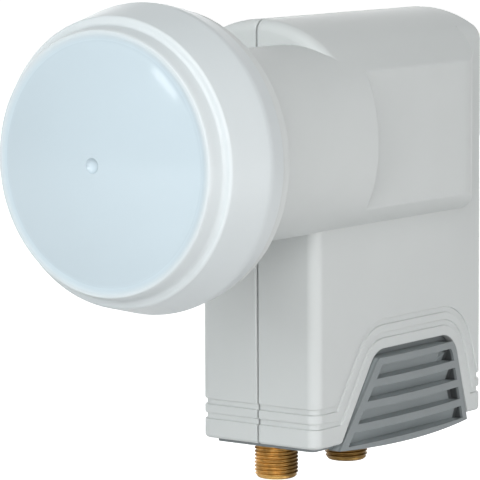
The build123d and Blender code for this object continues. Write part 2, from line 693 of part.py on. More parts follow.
right_shell, left_shell = shells()
parts = {
    "right_shell": right_shell,
    "left_shell": left_shell,
    "feed_cap": feed_cap(),
    "cap_seal": cap_seal(),
    "chassis": chassis(),
    "circuit_board": circuit_board(),
    "straight_probe": straight_probe(),
    "bent_probe": bent_probe(),
    "cover_gasket": cover_gasket(),
    "chassis_cover": chassis_cover(),
    "weather_shield": weather_shield(),
}
for i, (y, z) in enumerate(screw_places()):
    parts["cover_screw_%d" % (i + 1)] = cover_screw(y, z)
for label, y in zip(("front", "rear"), CONN_Y):
    parts["connector_body_" + label] = connector_body(y)
    parts["connector_insulator_" + label] = connector_insulator(y)
    parts["connector_contact_" + label] = connector_contact(y)
    parts["connector_seal_" + label] = connector_seal(y)

os.makedirs("parts", exist_ok=True)
for name, solid in parts.items():
    export_step(solid, "parts/%s.step" % name)
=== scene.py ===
import json
import math

import bmesh
import bpy
from bpy.props import FloatProperty, FloatVectorProperty, IntProperty, PointerProperty
from bpy.types import Operator, Panel, PropertyGroup
from mathutils import Matrix, Quaternion, Vector


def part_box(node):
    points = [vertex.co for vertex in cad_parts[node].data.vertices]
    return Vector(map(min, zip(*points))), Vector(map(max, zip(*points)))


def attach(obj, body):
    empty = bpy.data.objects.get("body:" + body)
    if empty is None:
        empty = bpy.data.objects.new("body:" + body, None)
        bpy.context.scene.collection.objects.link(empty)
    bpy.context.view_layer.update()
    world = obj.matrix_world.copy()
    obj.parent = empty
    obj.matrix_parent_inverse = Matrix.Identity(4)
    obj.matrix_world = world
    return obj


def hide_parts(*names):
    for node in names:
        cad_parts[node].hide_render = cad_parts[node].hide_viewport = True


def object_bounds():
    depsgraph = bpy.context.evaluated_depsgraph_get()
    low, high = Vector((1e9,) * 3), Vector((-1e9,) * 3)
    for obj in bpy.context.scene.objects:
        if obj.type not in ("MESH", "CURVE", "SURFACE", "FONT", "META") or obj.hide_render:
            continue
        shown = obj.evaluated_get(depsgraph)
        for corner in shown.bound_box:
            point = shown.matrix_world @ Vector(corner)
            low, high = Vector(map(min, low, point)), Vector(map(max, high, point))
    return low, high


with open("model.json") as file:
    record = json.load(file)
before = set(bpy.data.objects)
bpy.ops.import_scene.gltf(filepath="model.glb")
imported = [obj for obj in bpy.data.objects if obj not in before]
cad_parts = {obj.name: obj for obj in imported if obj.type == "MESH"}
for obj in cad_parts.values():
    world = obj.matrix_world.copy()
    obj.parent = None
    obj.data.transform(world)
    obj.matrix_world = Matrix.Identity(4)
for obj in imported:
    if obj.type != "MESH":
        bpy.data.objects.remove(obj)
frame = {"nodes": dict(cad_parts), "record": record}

bl_info = {
    "name": "Satellite Block Finish",
    "version": (1, 0, 0),
    "blender": (4, 5, 0),
    "location": "3D View > Sidebar > Block",
    "description": "Finish model of a twin-output satellite block around its CAD frame",
    "category": "Object",
}

CAD_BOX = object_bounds()
MM = 0.001
AXIS_Y = Vector((0, 1, 0))
AXIS_Z = Vector((0, 0, 1))
RECORD_COLOUR = {m["slot"]: tuple(m["base_color"][:3]) for m in frame["record"]["materials"]}

# Vertices nearer than this are merged, and thinner slivers dissolved, in millimetres
NODE_MERGE = 0.002
NODE_SLIVER = 0.001
CAP_MERGE = 0.004
THREAD_MERGE = 0.003
# Faces of a CAD copy become one where they turn by less than this, in degrees
FLAT_ANGLE = 0.3

# Feed cap in millimetres: front of the dome, edge of the disc as (radius, place along Y),
# wall at the middle, and gate dimple as (radius, depth)
CAP_APEX_Y = -43.9
CAP_DISC = (24.4, -40.55)
CAP_WALL = 1.8
CAP_GATE = (1.55, 0.9)
DOME_STEPS = 24
GATE_STEPS = 6
CORNER_STEPS = 5
# Radii between which the disc's colour and its polish fade out
DISC_FADE = (24.2, 26.4)
POLISH_FADE = (23.8, 24.4)
# Half section from the disc round to the inside: (radius, place along Y, soft corner's width)
CAP_SECTION = (
    (24.4, -40.55, 0.8),
    (25.3, -40.9, 0.55),
    (26.1, -40.85, 0.5),
    (26.4, -40.0, 0.4),
    (26.95, -37.25, 0.6),
    (28.6, -37.3, 0.6),
    (31.0, -27.1, 0.9),
    (30.2, -22.3, 0.3),
    (28.5, -22.3, 0.0),
    (28.5, -24.5, 0.0),
    (29.2, -27.1, 0.0),
    (26.8, -35.5, 0.0),
    (23.7, -37.9, 0.0),
)

# Coax connectors: axes, radii and heights in millimetres, rounding of the tip as (inset, rise)
STEM_X = -12.25
STEM_MID_Y = 46.7
STEM_HALF_GAP = 13.2
THREAD_R = 4.72
BORE_R = 3.4
SPIGOT_R = 5.0
FLANGE_R = 6.2
FLANGE_FOOT_Z = -58.9
FLANGE_TOP_Z = -56.9
TIP_ROUND = (1.2, 1.7)
TIP_TRIM = 0.1
BORE_CHAMFER = 0.1
# One pitch of the thread's edge: whether a point is on the crest, and its height in pitches
THREAD_EDGE = ((False, 0.0), (False, 0.12), (True, 0.5), (True, 0.62), (False, 1.0))
# Pitches by which the thread starts below the tip, and turns that it has to spare
THREAD_LEAD = 2
THREAD_SPARE = 3
# Painted shade in the thread's roots: depths below the crest between which it fades, and its
# share
ROOT_FADE = (0.42, 0.08)
ROOT_SHADE = 0.45
# Painted shade on the +X side of the threads and on the rear stem: shares of the radius and
# distance from the middle where it fades, and its share
SIDE_FADE = (0.55, 0.98)
REAR_FADE = 2
STEM_SHADE = 0.75

# Louvred panels of the shield, in millimetres
SHIELD_MID_X = -8.45
PANEL_MID_Y = 55.55
PANEL_PEAK = 16.6
PANEL_BOW_R = 190.7
SLOT_FLOOR = 13.2
SLOT_TOP_Z = -49.5
SLOT_PITCH = 4.5
SLOT_HEIGHT = 2.85
SLOT_LIP = 0.9
SLOT_STEPS = 8
# How much paler the slot insides are painted: painted light on the slot floors
SLOT_PAINTED_LIGHT = 1.45
# Rear end of the slots: place along Y, the height where it holds, its lean, and the width of the
# painted shade there
SLOT_END = (76.7, -65.0, 0.3226)
SLOT_SHADE = 0.6
# Depths below the panel, and distances behind the floor, between which a slot's inside begins
INSIDE_FADE = (0.35, 0.85)
FLOOR_FADE = (0.3, 0.1)
# How near a vertex lies to a slot's floor and to its upper edge
FLOOR_SLACK = 0.02
EDGE_SLACK = 0.01
LONG_EDGE = 10

WHITE = (1.0, 1.0, 1.0)
COOL = (0.96, 0.99, 1.0)
COLD = (0.93, 0.99, 1.0)
# Soft lamps: name, place and sides in metres, roll in degrees, power in watts,
# whether gloss shows it, colour
LAMPS = (
    ("key", (-0.28, -1.10, 0.42), (0.5, 0.5), 0, 3.87, False, COLD),
    ("strip", (-0.351, -1.144, 0.314), (0.21, 0.03), -36, 0.13, True, COOL),
    ("view", (0.65, -1.05, 0.38), (0.8, 0.8), 0, 3.7, True, WHITE),
    ("side", (1.20, -0.10, 0.20), (0.8, 0.8), 0, 1.34, True, WHITE),
    ("brow", (0.10, -0.90, 0.90), (0.6, 0.6), 0, 4.7, True, COLD),
    ("upper", (0.75, -0.75, 0.65), (0.6, 0.6), 0, 3.87, True, COOL),
    ("top", (0.00, 0.10, 1.20), (0.8, 0.8), 0, 0.34, True, WHITE),
    ("low_front", (0.12, -0.38, -0.07), (0.1, 0.1), 0, 0.27, True, WHITE),
    ("low_side", (0.36, 0.02, -0.07), (0.1, 0.1), 0, 0.32, True, WHITE),
    ("back", (-0.60, 1.10, 0.00), (0.8, 0.8), 0, 5.05, True, WHITE),
    ("left", (-1.15, 0.20, 0.00), (0.8, 0.8), 0, 4.2, True, WHITE),
)
WORLD_LEVEL = 0.085
FLOOR_SHADE = 0.70
FLOOR_HALF = 6.0
# White of the floor where the camera sees it, near the object and far from it,
# and the distances in metres between which it changes
FLOOR_GLOW = (0.55, 1.0)
FLOOR_REACH = (0.08, 0.28)

# Camera: place in millimetres, azimuth, tilt and roll in degrees, lens in millimetres
CAMERA_PLACE = (414.495, -556.342, 64.719)
CAMERA_TURN = (36.487, 6.86, -0.253)
CAMERA_LENS = 257.069
CAMERA_SENSOR = 36.0
# Nearest and farthest that the camera sees, in metres
CAMERA_CLIP = (0.01, 50.0)


class BlockSizes(PropertyGroup):
    """Sizes of the finish pieces."""

    cap_steps: IntProperty(
        name="Cap steps", description="Steps round the feed cap", default=192, min=48)
    thread_pitch: FloatProperty(
        name="Thread pitch", description="Pitch of the coax thread", default=0.794 * MM,
        unit="LENGTH", precision=5)
    thread_depth: FloatProperty(
        name="Thread depth", description="Depth of the coax thread", default=0.42 * MM,
        unit="LENGTH", precision=5)
    thread_steps: IntProperty(
        name="Thread steps", description="Steps round one turn of the coax thread",
        default=44, min=16)
    sharp_angle: FloatProperty(
        name="Sharp angle", description="Edges sharper than this stay crisp",
        default=math.radians(32), subtype="ANGLE")
    edge_round: FloatProperty(
        name="Edge round", description="Width of the softened edges of the shells",
        default=0.34 * MM, unit="LENGTH", precision=5)
    floor_drop: FloatProperty(
        name="Floor drop", description="How far the floor lies below the connectors",
        default=35 * MM, unit="LENGTH")


class BlockColours(PropertyGroup):
    """Colours of the finishes."""

    housing: FloatVectorProperty(
        name="Housing", description="Light grey moulding", size=3, subtype="COLOR",
        default=(0.598, 0.615, 0.610), min=0, max=1)
    cap: FloatVectorProperty(
        name="Cap", description="Skirt of the feed cap", size=3, subtype="COLOR",
        default=(0.604, 0.636, 0.647), min=0, max=1)
    disc: FloatVectorProperty(
        name="Disc", description="Front disc of the feed cap", size=3, subtype="COLOR",
        default=(0.488, 0.568, 0.617), min=0, max=1)
    shield: FloatVectorProperty(
        name="Shield", description="Louvred weather shield", size=3, subtype="COLOR",
        default=(0.217, 0.237, 0.243), min=0, max=1)
    brass: FloatVectorProperty(
        name="Brass", description="Coax connectors", size=3, subtype="COLOR",
        default=(0.595, 0.357, 0.113), min=0, max=1)


class Value:
    """A number on a shader socket; arithmetic on it adds Math nodes."""

    def __init__(self, tree, socket):
        self.tree = tree
        self.socket = socket

    def _math(self, operation, first, second):
        node = self.tree.nodes.new("ShaderNodeMath")
        node.operation = operation
        for slot, item in zip(node.inputs, (first, second)):
            if isinstance(item, Value):
                self.tree.links.new(item.socket, slot)
            else:
                slot.default_value = item
        return Value(self.tree, node.outputs[0])

    def __add__(self, other):
        return self._math("ADD", self, other)

    def __radd__(self, other):
        return self._math("ADD", other, self)

    def __sub__(self, other):
        return self._math("SUBTRACT", self, other)

    def __rsub__(self, other):
        return self._math("SUBTRACT", other, self)

    def __mul__(self, other):
        return self._math("MULTIPLY", self, other)

    def __rmul__(self, other):
        return self._math("MULTIPLY", other, self)

    def __pow__(self, other):
        return self._math("POWER", self, other)

    def __abs__(self):
        return self._math("ABSOLUTE", self, 0.0)

    def most(self, other):
        """The larger of two values."""
        return self._math("MAXIMUM", self, other)


class NodeTree:
    """A node tree and the one way in which nodes are added to it."""

    def __init__(self, tree):
        self.tree = tree

    def node(self, kind, settings=None, sockets=None):
        """Any node: its settings first, then values or links of its sockets."""
        made = self.tree.nodes.new(kind)
        for key, item in (settings or {}).items():
            setattr(made, key, item)
        for key, item in (sockets or {}).items():
            self.plug(item, made.inputs[key])
        return made

    def plug(self, item, socket):
        """Links a wrapped value or a socket, or sets a plain value."""
        if isinstance(item, Value):
            self.tree.links.new(item.socket, socket)
        elif isinstance(item, bpy.types.NodeSocket):
            self.tree.links.new(item, socket)
        else:
            socket.default_value = item

    def seen_rays(self):
        """1 where the camera sees a surface, straight or in a mirror or glass, else 0."""
        path = self.node("ShaderNodeLightPath")
        straight, mirrored, through = (
            Value(self.tree, path.outputs["Is " + kind + " Ray"])
            for kind in ("Camera", "Glossy", "Transmission"))
        return straight.most(mirrored).most(through)


class Finish(NodeTree):
    """One material and the nodes that make its surface."""

    def __init__(self, name):
        self.material = bpy.data.materials.new(name)
        self.material.use_nodes = True
        super().__init__(self.material.node_tree)
        self.shader = self.tree.nodes["Principled BSDF"]
        self.place = self.node("ShaderNodeTexCoord").outputs["Object"]

    def surface(self, **sockets):
        """Sets the shader's own sockets, spaces written as underscores."""
        for key, item in sockets.items():
            self.plug(item, self.shader.inputs[key.replace("_", " ")])

    def noise(self, size, detail=2.0):
        """Soft noise whose grains are about one size across."""
        made = self.node("ShaderNodeTexNoise", sockets={
            "Vector": self.place, "Scale": 1.0 / size, "Detail": detail})
        return Value(self.tree, made.outputs["Fac"])

    def blend(self, factor, first, second):
        """A colour between two colours."""
        made = self.node("ShaderNodeMix", {"data_type": "RGBA"}, {"Factor": factor})
        for socket, item in zip([s for s in made.inputs if s.type == "RGBA"], (first, second)):
            self.plug(item, socket)
        return [s for s in made.outputs if s.type == "RGBA"][0]

    def ramp(self, value, low, high):
        """A value carried smoothly from 0 at low to 1 at high."""
        made = self.node("ShaderNodeMapRange", {"interpolation_type": "SMOOTHSTEP"}, {
            "Value": value, "From Min": low, "From Max": high})
        return Value(self.tree, made.outputs["Result"])

    def axis(self):
        """The three coordinates of the place on the piece."""
        made = self.node("ShaderNodeSeparateXYZ", sockets={"Vector": self.place})
        return [Value(self.tree, s) for s in made.outputs]

    def bump(self, height, depth, strength):
        """Relief of a height map, depth in metres."""
        made = self.node("ShaderNodeBump", sockets={
            "Strength": strength, "Distance": depth, "Height": height})
        return made.outputs["Normal"]


def in_metres(pair):
    """Two lengths given in millimetres."""
    return [length * MM for length in pair]


def shade(colour, factor):
    """A colour made lighter or darker, with full alpha."""
    return (*(min(1.0, c * factor) for c in colour), 1.0)


def housing_finish(colour):
    """Satin light grey moulding with a fine spark-eroded grain."""
    f = Finish("housing_plastic")
    grain = f.noise(0.28 * MM, detail=3.0)
    cloud = f.noise(16 * MM, detail=3.0)
    f.surface(Base_Color=f.blend(cloud, shade(colour, 0.97), shade(colour, 1.03)),
              Roughness=0.40 + 0.10 * grain + 0.06 * cloud,
              Normal=f.bump(grain, 0.012 * MM, 0.6))
    return f.material


def cap_finish(colour, front):
    """Smooth cool white moulding, bluer and glossier on the front disc."""
    f = Finish("cap_plastic")
    x, _, z = f.axis()
    radius = (x * x + z * z) ** 0.5
    disc = 1.0 - f.ramp(radius, *in_metres(DISC_FADE))
    polish = 1.0 - f.ramp(radius, *in_metres(POLISH_FADE))
    cloud = f.noise(22 * MM)
    fine = f.noise(0.5 * MM)
    skirt = f.blend(cloud, shade(colour, 0.98), shade(colour, 1.02))
    face = f.blend(cloud, shade(front, 0.985), shade(front, 1.015))
    satin = 0.36 + 0.05 * cloud + 0.03 * fine
    gloss = 0.07 + 0.03 * cloud
    f.surface(Base_Color=f.blend(disc, skirt, face),
              Roughness=satin + (gloss - satin) * polish,
              Normal=f.bump(fine, 0.001 * MM, 0.3))
    return f.material


def shield_finish(colour):
    """Mid grey moulding, duller than the housing; painted light makes the slot insides pale, and
    painted shade darkens their rear ends.
    """
    f = Finish("shield_plastic")
    x, y, z = f.axis()
    grain = f.noise(0.35 * MM, detail=3.0)
    cloud = f.noise(9 * MM, detail=3.0)
    end_y, foot_z, lean = SLOT_END
    past = y - (end_y - SLOT_SHADE) * MM + (z - foot_z * MM) * lean
    out = abs(x - SHIELD_MID_X * MM)
    along = y - PANEL_MID_Y * MM
    sunk = PANEL_PEAK * MM - along * along * (0.5 / (PANEL_BOW_R * MM)) - out
    inside = f.ramp(sunk, *in_metres(INSIDE_FADE))
    inside = inside * f.ramp(out, *in_metres(SLOT_FLOOR - behind for behind in FLOOR_FADE))
    # Painted shade darkens the rear end of each slot, where the open end lies in shade
    dark = f.ramp(past, 0.0, SLOT_SHADE * MM) * inside
    face = f.blend(cloud, shade(colour, 0.94), shade(colour, 1.06))
    # Painted light: the slot insides are made paler than the panel
    floor = f.blend(cloud, shade(colour, SLOT_PAINTED_LIGHT * 0.94), shade(colour, SLOT_PAINTED_LIGHT * 1.06))
    face = f.blend(inside, face, floor)
    f.surface(Base_Color=f.blend(dark, face, shade(colour, 0.28)),
              Roughness=0.46 + 0.12 * grain,
              Normal=f.bump(grain, 0.016 * MM, 0.7))
    return f.material


def brass_finish(name, colour, threaded=False):
    """Turned brass with fine tool marks; a thread gets painted shade in its roots, on its +X
    side and on the rear stem.
    """
    f = Finish(name)
    marks = f.noise(0.18 * MM)
    tarnish = f.ramp(f.noise(1.6 * MM, detail=4.0), 0.35, 0.70)
    face = f.blend(tarnish, shade(colour, 1.12), shade(colour, 0.70))
    if threaded:
        x, y, _ = f.axis()
        across = x - STEM_X * MM
        along = abs(y - STEM_MID_Y * MM) - STEM_HALF_GAP * MM
        radius = (across * across + along * along) ** 0.5
        # Painted shade darkens the roots of the thread
        root = 1.0 - f.ramp(radius, *in_metres(THREAD_R - depth for depth in ROOT_FADE))
        face = f.blend(ROOT_SHADE * root, face, shade(colour, 0.55))
        # Painted shade on the +X side of each thread and over the whole rear stem
        side = f.ramp(across, *in_metres(share * THREAD_R for share in SIDE_FADE))
        rear = f.ramp(y, *in_metres((STEM_MID_Y - REAR_FADE, STEM_MID_Y + REAR_FADE)))
        face = f.blend(STEM_SHADE * side.most(rear), face, shade(colour, 0.15))
    f.surface(Base_Color=face, Metallic=1.0, Roughness=0.38 + 0.06 * marks + 0.12 * tarnish,
              Normal=f.bump(marks, 0.006 * MM, 0.6))
    return f.material


def cast_finish(colour):
    """Die-cast alloy with a dull skin."""
    f = Finish("cast_alloy")
    skin = f.noise(0.6 * MM, detail=4.0)
    stain = f.noise(7 * MM, detail=3.0)
    f.surface(Base_Color=f.blend(stain, shade(colour, 0.86), shade(colour, 1.04)),
              Metallic=1.0, Roughness=0.42 + 0.16 * skin,
              Normal=f.bump(skin, 0.03 * MM, 0.7))
    return f.material


def plain_finish(name, colour, rough, grain_size, metal=0.0):
    """A plain finish with a fine grain, for small inner pieces."""
    f = Finish(name)
    grain = f.noise(grain_size, detail=3.0)
    f.surface(Base_Color=f.blend(grain, shade(colour, 0.92), shade(colour, 1.08)),
              Metallic=metal, Roughness=rough + 0.1 * grain,
              Normal=f.bump(grain, 0.01 * MM, 0.6))
    return f.material


def board_finish(colour):
    """Green laminate with copper runs under the lacquer."""
    f = Finish("board_laminate")
    weave = f.noise(0.4 * MM)
    runs = f.node("ShaderNodeTexVoronoi", {"feature": "DISTANCE_TO_EDGE"},
                  {"Vector": f.place, "Scale": 1.0 / (4.5 * MM)})
    line = 1.0 - f.ramp(Value(f.tree, runs.outputs["Distance"]), 0.04, 0.07)
    f.surface(Base_Color=f.blend(line, shade(colour, 1.0), shade(colour, 1.9)),
              Roughness=0.35 + 0.1 * weave, Normal=f.bump(line, 0.03 * MM, 0.5))
    return f.material


def add_piece(name, bm, material, body, nodes):
    """Makes an object of a bmesh, rides it on a body and lets it stand for nodes."""
    mesh = bpy.data.meshes.new(name)
    bm.to_mesh(mesh)
    bm.free()
    mesh.materials.append(material)
    piece = bpy.data.objects.new(name, mesh)
    bpy.context.scene.collection.objects.link(piece)
    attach(piece, body)
    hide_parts(*nodes)
    return piece


def crisp_edges(bm, angle):
    """Smooth faces all over, with the sharp edges kept crisp."""
    for face in bm.faces:
        face.smooth = True
    for edge in bm.edges:
        edge.smooth = len(edge.link_faces) == 2 and edge.calc_face_angle(0.0) < angle


def node_copy(node, angle, soft=0.0):
    """A merged copy of a CAD node's mesh, flat faces made whole and sharp edges softened."""
    bm = bmesh.new()
    bm.from_mesh(frame["nodes"][node].data)
    bmesh.ops.remove_doubles(bm, verts=bm.verts, dist=NODE_MERGE * MM)
    bmesh.ops.dissolve_degenerate(bm, edges=bm.edges, dist=NODE_SLIVER * MM)
    bmesh.ops.dissolve_limit(
        bm, angle_limit=math.radians(FLAT_ANGLE), use_dissolve_boundaries=False,
        verts=bm.verts, edges=bm.edges, delimit={"NORMAL"})
    if soft:
        sharp = [e for e in bm.edges if e.is_convex and e.calc_face_angle(0.0) > angle]
        bmesh.ops.bevel(
            bm, geom=sharp, offset=soft, offset_type="OFFSET", segments=2, profile=0.5,
            affect="EDGES", clamp_overlap=False, material=-1)
    crisp_edges(bm, angle)
    return bm


def even_normals(piece):
    """Lets large flat faces keep their own normals."""
    weighted = piece.modifiers.new("even_normals", "WEIGHTED_NORMAL")
    weighted.keep_sharp = True
    weighted.weight = 50


def section_line(bm, points):
    """A row of vertices joined by edges, in the plane of X and Y."""
    row = [bm.verts.new((r * MM, y * MM, 0)) for r, y in points]
    for first, second in zip(row, row[1:]):
        bm.edges.new((first, second))
    return row


class BLOCK_OT_feed_cap(Operator):
    """Turned skin of the feed cap: dome, gate dimple, lip, ring and skirt"""

    bl_idname = "block.feed_cap"
    bl_label = "Feed cap"

    def execute(self, context):
        sizes = context.scene.block_sizes
        bm = bmesh.new()
        rise = CAP_DISC[1] - CAP_APEX_Y
        ball = (CAP_DISC[0] ** 2 + rise ** 2) / (2 * rise)
        reach = math.asin(CAP_DISC[0] / ball)
        start = math.asin(CAP_GATE[0] / ball)
        centre = Vector((0, (CAP_APEX_Y + ball) * MM, 0))
        row = section_line(bm, [p[:2] for p in CAP_SECTION])
        rounds = {v: p[2] for v, p in zip(row, CAP_SECTION)}
        gate_y = CAP_APEX_Y + ball - ball * math.cos(start)
        dome = bmesh.ops.spin(
            bm, geom=[row[0]], cent=centre, axis=(0, 0, 1), dvec=(0, 0, 0),
            angle=start - reach, steps=DOME_STEPS, use_merge=False, use_duplicate=False)
        rim = dome["geom_last"][0]
        dent = (CAP_GATE[0] ** 2 + CAP_GATE[1] ** 2) / (2 * CAP_GATE[1])
        bmesh.ops.spin(
            bm, geom=[rim], cent=(0, (gate_y + CAP_GATE[1] - dent) * MM, 0), axis=(0, 0, 1),
            dvec=(0, 0, 0), angle=math.asin(CAP_GATE[0] / dent), steps=GATE_STEPS,
            use_merge=False, use_duplicate=False)
        inner = bm.verts.new((0, (CAP_APEX_Y + CAP_WALL) * MM, 0))
        bm.edges.new((row[-1], inner))
        for vert, radius in rounds.items():
            if radius and vert.is_valid:
                bmesh.ops.bevel(
                    bm, geom=[vert], offset=radius * MM, offset_type="OFFSET",
                    segments=CORNER_STEPS, profile=0.5, affect="VERTICES", material=-1)
        bmesh.ops.spin(
            bm, geom=bm.verts[:] + bm.edges[:], cent=(0, 0, 0), axis=AXIS_Y, dvec=(0, 0, 0),
            angle=math.tau, steps=sizes.cap_steps, use_merge=True, use_duplicate=False)
        bmesh.ops.remove_doubles(bm, verts=bm.verts, dist=CAP_MERGE * MM)
        bmesh.ops.recalc_face_normals(bm, faces=bm.faces)
        crisp_edges(bm, sizes.sharp_angle)
        colours = context.scene.block_colours
        cap = add_piece("feed_cap_skin", bm, cap_finish(tuple(colours.cap), tuple(colours.disc)),
                        "lnb", ["feed_cap"])
        even_normals(cap)
        return {"FINISHED"}


class BLOCK_OT_housing(Operator):
    """Skins of the two half shells of the housing"""

    bl_idname = "block.housing"
    bl_label = "Housing shells"

    def execute(self, context):
        sizes = context.scene.block_sizes
        material = housing_finish(tuple(context.scene.block_colours.housing))
        for node in ("right_shell", "left_shell"):
            bm = node_copy(node, sizes.sharp_angle, sizes.edge_round)
            skin = add_piece(node + "_skin", bm, material, "lnb", [node])
            even_normals(skin)
        return {"FINISHED"}


class BLOCK_OT_weather_shield(Operator):
    """Skin of the louvred sliding shield"""

    bl_idname = "block.weather_shield"
    bl_label = "Weather shield"

    def execute(self, context):
        sizes = context.scene.block_sizes
        material = shield_finish(tuple(context.scene.block_colours.shield))
        bm = node_copy("weather_shield", sizes.sharp_angle)
        self.slant_slots(bm)
        crisp_edges(bm, sizes.sharp_angle)
        skin = add_piece("weather_shield_skin", bm, material, "shield",
                         ["weather_shield"])
        even_normals(skin)
        return {"FINISHED"}

    def slant_slots(self, bm):
        """Leans the floor of every slot, so that it is deepest along its lower edge."""
        floor = [e for e in bm.edges if all(self.on_floor(v) for v in e.verts)]
        long_edges = [e for e in floor if e.calc_length() > LONG_EDGE * MM]
        bmesh.ops.subdivide_edges(bm, edges=long_edges, cuts=SLOT_STEPS)
        for vert in bm.verts:
            if self.on_floor(vert):
                out = vert.co.x / MM - SHIELD_MID_X
                bow = (vert.co.y / MM - PANEL_MID_Y) ** 2 / (2 * PANEL_BOW_R)
                below = (SLOT_TOP_Z - vert.co.z / MM) % SLOT_PITCH / SLOT_HEIGHT
                lift = (PANEL_PEAK - bow - SLOT_LIP - SLOT_FLOOR) * (1 - min(1.0, below))
                vert.co.x += math.copysign(lift * MM, out)
        bmesh.ops.triangulate(bm, faces=bm.faces)

    def on_floor(self, vert):
        """Whether a vertex lies on the floor of a slot, as the CAD has it."""
        out = abs(vert.co.x / MM - SHIELD_MID_X)
        below = (SLOT_TOP_Z - vert.co.z / MM + EDGE_SLACK) % SLOT_PITCH
        in_slot = below < SLOT_HEIGHT + EDGE_SLACK + FLOOR_SLACK
        return in_slot and abs(out - SLOT_FLOOR) < FLOOR_SLACK


def drawn_ring(bm, edges, axis, radius, z):
    """Draws a loop of edges on to a ring of the given radius and height."""
    made = bmesh.ops.extrude_edge_only(bm, edges=edges)["geom"]
    ring = {item for item in made if isinstance(item, bmesh.types.BMVert)}
    for vert in ring:
        out = (vert.co - axis).to_2d().normalized() * radius * MM
        vert.co = (axis.x + out.x, axis.y + out.y, z)
    drawn = [item for item in made if isinstance(item, bmesh.types.BMEdge)]
    return [edge for edge in drawn if ring.issuperset(edge.verts)]


class BLOCK_OT_connectors(Operator):
    """Coax connectors with a cut thread, a rounded tip, a bore and a flange"""

    bl_idname = "block.connectors"
    bl_label = "Coax connectors"

    def execute(self, context):
        sizes = context.scene.block_sizes
        colour = tuple(context.scene.block_colours.brass)
        brass = brass_finish("connector_brass", colour, threaded=True)
        front = self.body("connector_body_front", sizes)
        rear = front.copy()
        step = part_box("connector_body_rear")[0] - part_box("connector_body_front")[0]
        bmesh.ops.translate(rear, verts=rear.verts, vec=step)
        for end, bm in (("front", front), ("rear", rear)):
            node = "connector_body_" + end
            skin = add_piece(node + "_skin", bm, brass, "lnb", [node])
            even_normals(skin)
        return {"FINISHED"}

    def body(self, node, sizes):
        """Thread cut by a screw motion, closed by rings round tip, bore, spigot and flange."""
        low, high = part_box(node)
        axis = Vector(((low.x + high.x) / 2, (low.y + high.y) / 2, 0))
        tip, top, foot = low.z, high.z, FLANGE_FOOT_Z * MM
        bm = bmesh.new()
        self.thread(bm, axis, tip, foot, sizes)
        ends = [e for e in bm.edges if e.is_boundary]
        middle = (tip + foot) / 2
        loop = [e for e in ends if e.verts[0].co.z < middle]
        upper = [e for e in ends if e.verts[0].co.z > middle]
        rings = (
            (THREAD_R - TIP_ROUND[0], tip),
            (BORE_R + BORE_CHAMFER, tip), (BORE_R, tip + BORE_CHAMFER * MM),
            (BORE_R, top), (SPIGOT_R, top), (SPIGOT_R, FLANGE_TOP_Z * MM),
            (FLANGE_R, FLANGE_TOP_Z * MM), (FLANGE_R, foot), (SPIGOT_R, foot),
        )
        for radius, z in rings:
            loop = drawn_ring(bm, loop, axis, radius, z)
        bmesh.ops.bridge_loops(bm, edges=loop + upper)
        bmesh.ops.recalc_face_normals(bm, faces=bm.faces)
        crisp_edges(bm, sizes.sharp_angle)
        return bm

    def thread(self, bm, axis, tip, foot, sizes):
        """One pitch of the thread's edge, screwed up and trimmed to the stem."""
        pitch, steps = sizes.thread_pitch, sizes.thread_steps
        crest = THREAD_R * MM
        root = crest - sizes.thread_depth
        turns = math.ceil((foot - tip) / pitch) + THREAD_SPARE
        row = []
        for on_crest, height in THREAD_EDGE:
            radius = crest if on_crest else root
            row.append(bm.verts.new(
                (axis.x + radius, axis.y, tip + (height - THREAD_LEAD) * pitch)))
        line = [bm.edges.new(pair) for pair in zip(row, row[1:])]
        bmesh.ops.spin(
            bm, geom=row + line, cent=axis, axis=AXIS_Z, dvec=(0, 0, pitch / steps),
            angle=math.tau * turns, steps=steps * turns, use_merge=False, use_duplicate=False)
        bmesh.ops.remove_doubles(bm, verts=bm.verts, dist=THREAD_MERGE * MM)
        for place, keep in ((tip + TIP_TRIM * MM, "clear_inner"), (foot, "clear_outer")):
            bmesh.ops.bisect_plane(
                bm, geom=bm.verts[:] + bm.edges[:] + bm.faces[:], plane_co=(0, 0, place),
                plane_no=AXIS_Z, **{keep: True})
        inset, rise = in_metres(TIP_ROUND)
        for vert in bm.verts:
            left = (tip + rise - vert.co.z) / rise
            out = (vert.co - axis).to_2d()
            if left > 0:
                limit = crest - inset * (1 - math.sqrt(max(0.0, 1 - left * left)))
                out *= min(1.0, limit / out.length)
                vert.co.xy = axis.to_2d() + out


class BLOCK_OT_inner_pieces(Operator):
    """Finishes of the CAD nodes that stay as they are"""

    bl_idname = "block.inner_pieces"
    bl_label = "Inner pieces"

    def execute(self, context):
        colour = RECORD_COLOUR
        finishes = {
            "cast_alloy": cast_finish(colour["cast_alloy"]),
            "contact_brass": brass_finish("contact_brass", colour["contact_brass"]),
            "insulator_plastic": plain_finish(
                "insulator_plastic", colour["insulator_plastic"], 0.40, 0.4 * MM),
            "board_laminate": board_finish(colour["board_laminate"]),
            "seal_rubber": plain_finish("seal_rubber", colour["seal_rubber"], 0.60, 0.3 * MM),
            "screw_steel": plain_finish(
                "screw_steel", colour["screw_steel"], 0.30, 0.3 * MM, metal=1.0),
        }
        slots = {s["node"]: s["material_slot"] for s in frame["record"]["subparts"]}
        for name, piece in frame["nodes"].items():
            if slots[name] in finishes:
                piece.data.materials.clear()
                piece.data.materials.append(finishes[slots[name]])
        return {"FINISHED"}


